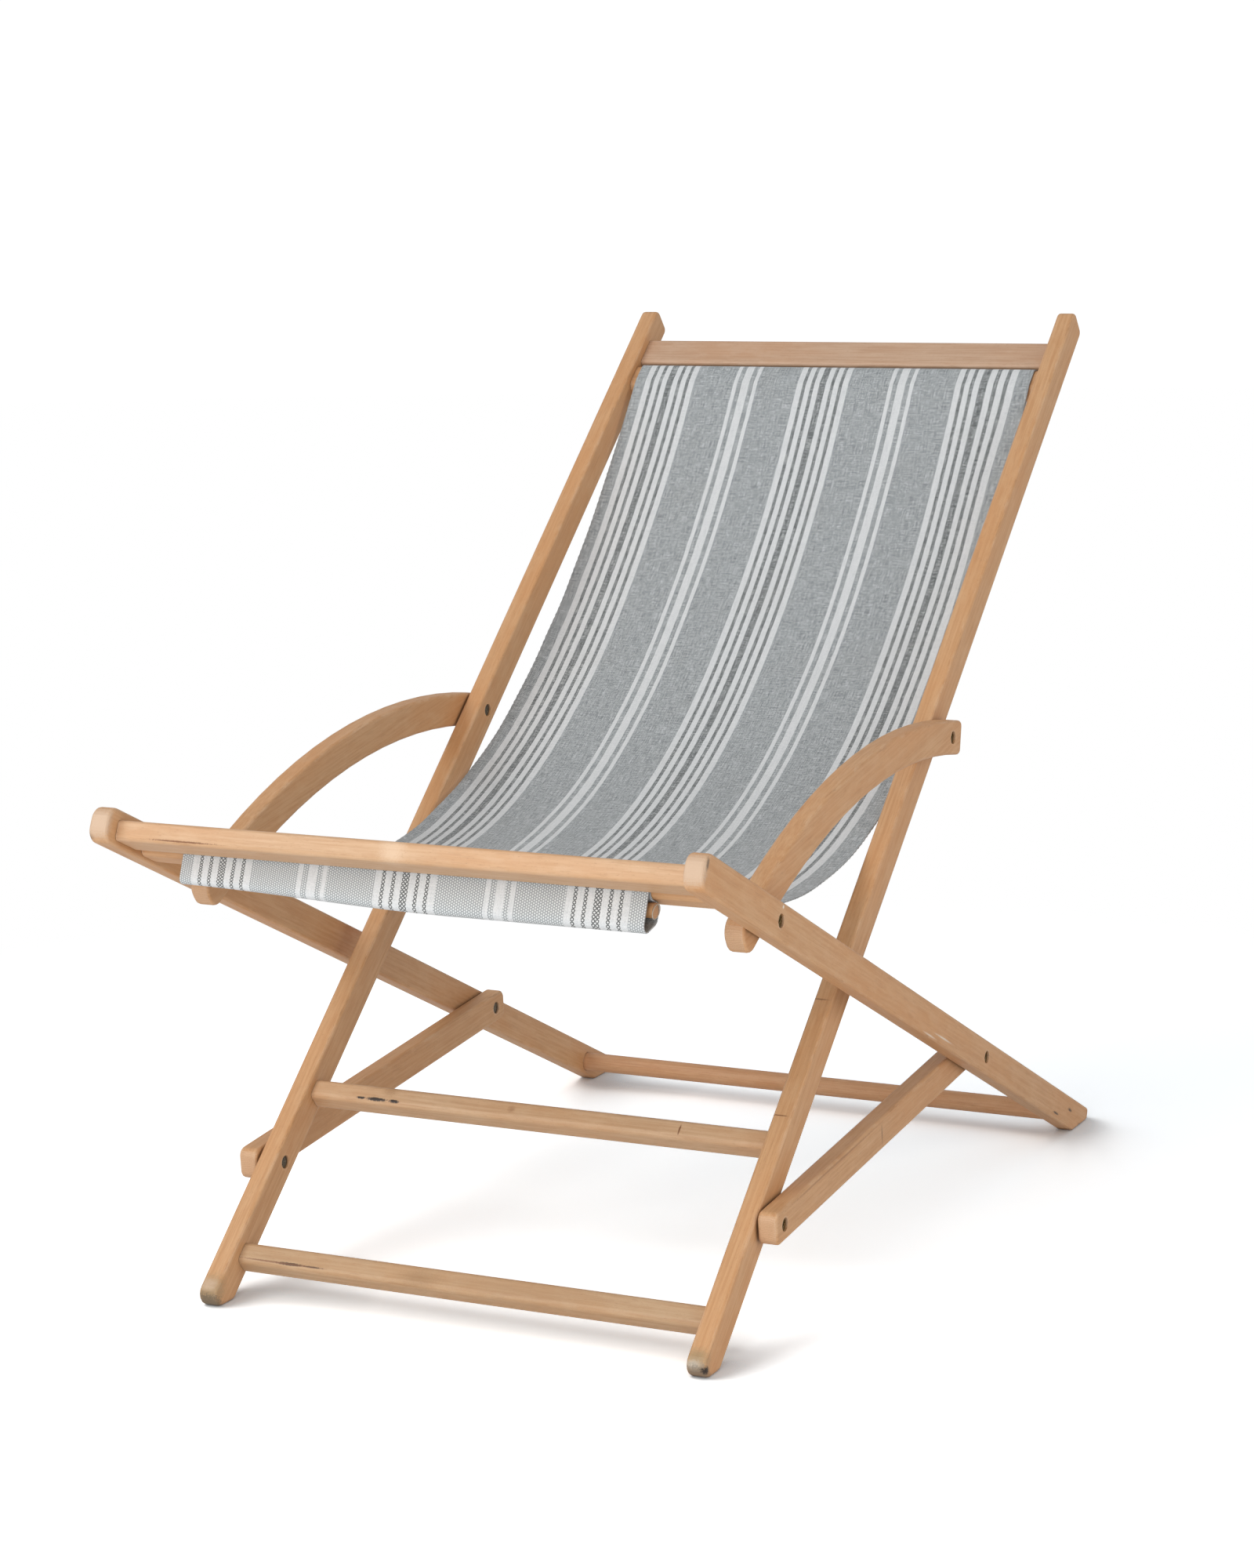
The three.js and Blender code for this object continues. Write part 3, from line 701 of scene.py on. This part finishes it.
def cloth_grid():
    """Rows of (place, normal, u, v) across the cloth, all in metres."""
    line, length = cloth_line()
    margin = EDGE_COLUMNS[-1]
    middle = CLOTH_WIDTH - 2 * margin
    inner = [margin + middle * i / INNER_STEPS for i in range(1, INNER_STEPS)]
    columns = EDGE_COLUMNS + inner + [CLOTH_WIDTH - c for c in reversed(EDGE_COLUMNS)]
    rows = []
    hem = line[-1]
    for i, p in enumerate(line):
        before, after = line[max(i - 1, 0)], line[min(i + 1, len(line) - 1)]
        run = (after - before).normalized()
        normal = Vector((0, run.y, -run.x))  # towards the sitter
        v = length * i / (len(line) - 1)
        to_front = length - v
        ends = smooth_step(v, 95, 260) * smooth_step(to_front, 95, 240)
        near_top = 1 - smooth_step(v, 110, 420)
        row = []
        for c in columns:
            x = (c - CLOTH_WIDTH / 2) * (1 - NARROWING * near_top)
            x += selvedge_shift(i, c, v, ends) - OFF_CENTRE - TOP_OFF_CENTRE * near_top
            place = Vector((x, p.x, p.y)) + normal * cloth_lift(c, x, v, ends)
            if to_front < SLEEVE_RUN:
                snug = SNUG * (1 - smooth_step(x, -230, 40)) * smooth_step(to_front, 4, 20)
                place = place.lerp(Vector((x, *hem)), snug * smooth_step(SLEEVE_RUN - to_front, 0, 20))
            row.append((place * MM, normal, c * MM, v * MM))
        rows.append(row)
    return rows


def sheet(name, rows, materials):
    """A closed cloth sheet: its face towards the sitter, its reverse behind."""
    half = CLOTH_HALF_THICKNESS * MM
    mesh = bpy.data.meshes.new(name)
    bm = bmesh.new()
    layer = bm.loops.layers.uv.new("cloth")
    sides = []
    for sign in (1, -1):
        sides.append([
            [bm.verts.new(place + normal * half * sign) for place, normal, _, _ in row]
            for row in rows
        ])
    across, down = len(rows[0]), len(rows)

    def face(corners, index, smooth=True):
        made = bm.faces.new([sides[s][i][j] for s, i, j in corners])
        made.material_index = index
        made.smooth = smooth
        for loop, (_, i, j) in zip(made.loops, corners):
            loop[layer].uv = rows[i][j][2:]

    for i in range(down - 1):
        for j in range(across - 1):
            face([(0, i, j), (0, i + 1, j), (0, i + 1, j + 1), (0, i, j + 1)], 0)
            face([(1, i, j + 1), (1, i + 1, j + 1), (1, i + 1, j), (1, i, j)], 1)
        last = across - 1
        face([(0, i, 0), (1, i, 0), (1, i + 1, 0), (0, i + 1, 0)], 0)
        face([(0, i + 1, last), (1, i + 1, last), (1, i, last), (0, i, last)], 0)
    for j in range(across - 1):
        last = down - 1
        face([(0, 0, j + 1), (1, 0, j + 1), (1, 0, j), (0, 0, j)], 0, False)
        face([(0, last, j), (1, last, j), (1, last, j + 1), (0, last, j + 1)], 0, False)
    for row in (0, down - 1):
        for s in (0, 1):
            for j in range(across - 1):
                edge = bm.edges.get((sides[s][row][j], sides[s][row][j + 1]))
                edge.smooth = False
    bm.normal_update()
    bm.to_mesh(mesh)
    bm.free()
    for material in materials:
        mesh.materials.append(material)
    obj = bpy.data.objects.new(name, mesh)
    bpy.context.scene.collection.objects.link(obj)
    return obj


def thread_loop(name, centre, radius, thick):
    """A slack loop of thread hanging round a dowel's end."""
    mesh = bpy.data.meshes.new(name)
    bm = bmesh.new()
    turns, sides = 40, 8
    rings = []
    for i in range(turns):
        t = math.tau * i / turns
        slack = radius * (1 + 0.06 * math.sin(2 * t + 0.6))
        outward = Vector((0, math.cos(t), math.sin(t)))
        middle = Vector((0.9 * math.sin(t + 0.4), 0, -0.9)) * MM + outward * slack * MM
        ring = []
        for k in range(sides):
            c = math.tau * k / sides
            off = (outward * math.cos(c) + X * math.sin(c)) * thick * MM
            ring.append(bm.verts.new(centre + middle + off))
        rings.append(ring)
    for i in range(turns):
        for k in range(sides):
            here, there = rings[i], rings[(i + 1) % turns]
            after = (k + 1) % sides
            made = bm.faces.new([here[k], there[k], there[after], here[after]])
            made.smooth = True
    bmesh.ops.recalc_face_normals(bm, faces=bm.faces)
    bm.to_mesh(mesh)
    bm.free()
    mesh.materials.append(thread("pale_thread", (226, 216, 198)))
    obj = bpy.data.objects.new(name, mesh)
    bpy.context.scene.collection.objects.link(obj)
    return obj


face_cloth = canvas("striped_canvas", False)
reverse_cloth = canvas("striped_canvas_reverse", True)
grid = cloth_grid()


def from_split(i):
    """How far a row of the hanging cloth is from the split. The high rows are left out."""
    corner = grid[i][0][0]
    return abs(corner.y - SPLIT_Y) if corner.z < 0.5 else math.inf


split = min(range(len(grid)), key=from_split)
sling_upper = sheet("sling_upper", grid[:split + 1], (face_cloth, reverse_cloth))
sling_lower = sheet("sling_lower", grid[split:], (face_cloth, reverse_cloth))
for piece in (sling_upper, sling_lower):
    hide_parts("sling")
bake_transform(sling_upper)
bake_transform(sling_lower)


dowel_low, dowel_high = (Vector(corner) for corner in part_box("sling_dowel_front"))
dowel_end = (dowel_low + dowel_high) / 2
dowel_end.x = dowel_high.x + 0.6 * MM
loop = thread_loop("thread_loop", dowel_end, 6.2, 0.45)
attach(loop, "seat_frame")


# ---------- floor, light and camera ----------
def pale_floor():
    """Almost white to the camera, so that only the deepest shadows show, and plain white far off. Near
    things, painted shadow darkens its camera colour.
    """
    g = Graph("pale_floor")
    direct = g.add("ShaderNodeLightPath").outputs["Is Camera Ray"]
    tint = g.noise(g.position, 0.6, detail=2)
    # Painted shadow: an ambient occlusion leaning towards the key light darkens the camera colour on
    # the far side of feet and rails.
    lean = g.add("ShaderNodeCombineXYZ", {"X": -0.62, "Y": -0.42, "Z": 0.66}).outputs[0]
    hidden = {"Distance": 0.13, "Normal": lean}
    shut = g.add("ShaderNodeAmbientOcclusion", hidden, samples=12).outputs["AO"]
    camera_tone_with_painted_shadow = g.mix(g.step(shut, 0.86, 0.62), (1.70, 1.75, 1.78, 1), (0.86, 0.90, 0.93, 1))
    near_tone = g.mix(direct, g.mix(tint, 0.86, 0.90), camera_tone_with_painted_shadow)
    near = g.add("ShaderNodeBsdfDiffuse", {"Color": near_tone})
    far = g.add("ShaderNodeEmission", {"Color": (1, 1, 1, 1), "Strength": 1.0})
    reach = g.add("ShaderNodeVectorMath", operation="LENGTH")
    g.feed(reach.inputs[0], g.position)
    fade = g.math("MULTIPLY", g.step(reach.outputs["Value"], 0.85, 1.5), direct)
    blend = g.add("ShaderNodeMixShader", {"Fac": fade})
    g.tree.links.new(near.outputs[0], blend.inputs[1])
    g.tree.links.new(far.outputs[0], blend.inputs[2])
    # Seen from below, the floor lets the camera through.
    under = g.math("MULTIPLY", g.add("ShaderNodeNewGeometry").outputs["Backfacing"], direct)
    clear = g.add("ShaderNodeBsdfTransparent")
    either = g.add("ShaderNodeMixShader", {"Fac": under})
    g.tree.links.new(blend.outputs[0], either.inputs[1])
    g.tree.links.new(clear.outputs[0], either.inputs[2])
    output = g.add("ShaderNodeOutputMaterial")
    g.tree.links.new(either.outputs[0], output.inputs["Surface"])
    return g.material


def studio():
    mesh = bpy.data.meshes.new("floor")
    bm = bmesh.new()
    bmesh.ops.create_circle(bm, cap_ends=True, radius=14, segments=64)
    bm.to_mesh(mesh)
    bm.free()
    mesh.materials.append(pale_floor())
    floor = bpy.data.objects.new("floor", mesh)
    bpy.context.scene.collection.objects.link(floor)

    world = bpy.data.worlds.new("studio")
    bpy.context.scene.world = world
    world.use_nodes = True
    tree = world.node_tree
    tree.nodes.clear()
    seen = tree.nodes.new("ShaderNodeBackground")
    seen.inputs["Color"].default_value = (1, 1, 1, 1)
    seen.inputs["Strength"].default_value = 1.05
    fill = tree.nodes.new("ShaderNodeBackground")
    fill.inputs["Color"].default_value = (0.97, 0.98, 1, 1)
    fill.inputs["Strength"].default_value = 0.52
    path = tree.nodes.new("ShaderNodeLightPath")
    choose = tree.nodes.new("ShaderNodeMixShader")
    output = tree.nodes.new("ShaderNodeOutputWorld")
    tree.links.new(path.outputs["Is Camera Ray"], choose.inputs[0])
    tree.links.new(fill.outputs[0], choose.inputs[1])
    tree.links.new(seen.outputs[0], choose.inputs[2])
    tree.links.new(choose.outputs[0], output.inputs["Surface"])

    def softbox(name, place, size, energy, tone):
        data = bpy.data.lights.new(name, "AREA")
        data.shape = "DISK"
        data.size = size
        data.energy = energy
        data.color = tone
        light = bpy.data.objects.new(name, data)
        light.location = place
        towards = Vector((0, 0, 0.4)) - Vector(place)
        light.rotation_euler = towards.to_track_quat("-Z", "Y").to_euler()
        bpy.context.scene.collection.objects.link(light)

    softbox("key", (-1.9, -2.8, 2.6), 2.2, 54, (1, 0.985, 0.96))
    softbox("front_fill", (0.5, -3.4, 0.9), 2.0, 34, (1, 1, 1))
    softbox("side_fill", (3.4, -0.6, 1.2), 2.4, 24, (1, 0.96, 0.90))


CAMERA_PLACE = (1.3817, -2.9721, 0.9859)
CAMERA_YAW, CAMERA_PITCH, CAMERA_ROLL = 25.42, -9.78, -0.72  # degrees
CAMERA_LENS = 98.82


def photo_camera():
    data = bpy.data.cameras.new("camera")
    data.sensor_fit = "HORIZONTAL"
    data.sensor_width = 36
    data.lens = CAMERA_LENS
    data.clip_end = 60
    camera = bpy.data.objects.new("camera", data)
    yaw, pitch, roll = map(math.radians, (CAMERA_YAW, CAMERA_PITCH, CAMERA_ROLL))
    flat = math.cos(pitch)
    forward = Vector((-math.sin(yaw) * flat, math.cos(yaw) * flat, math.sin(pitch)))
    level = Vector((math.cos(yaw), math.sin(yaw), 0))
    above = level.cross(forward)
    right = level * math.cos(roll) + above * math.sin(roll)
    up = above * math.cos(roll) - level * math.sin(roll)
    axes = Matrix((right, up, -forward)).transposed().to_4x4()
    camera.matrix_world = Matrix.Translation(CAMERA_PLACE) @ axes
    bpy.context.scene.collection.objects.link(camera)
    bpy.context.scene.camera = camera


studio()
photo_camera()
bpy.context.scene.view_settings.view_transform = "Standard"
bpy.context.scene.view_settings.look = "None"
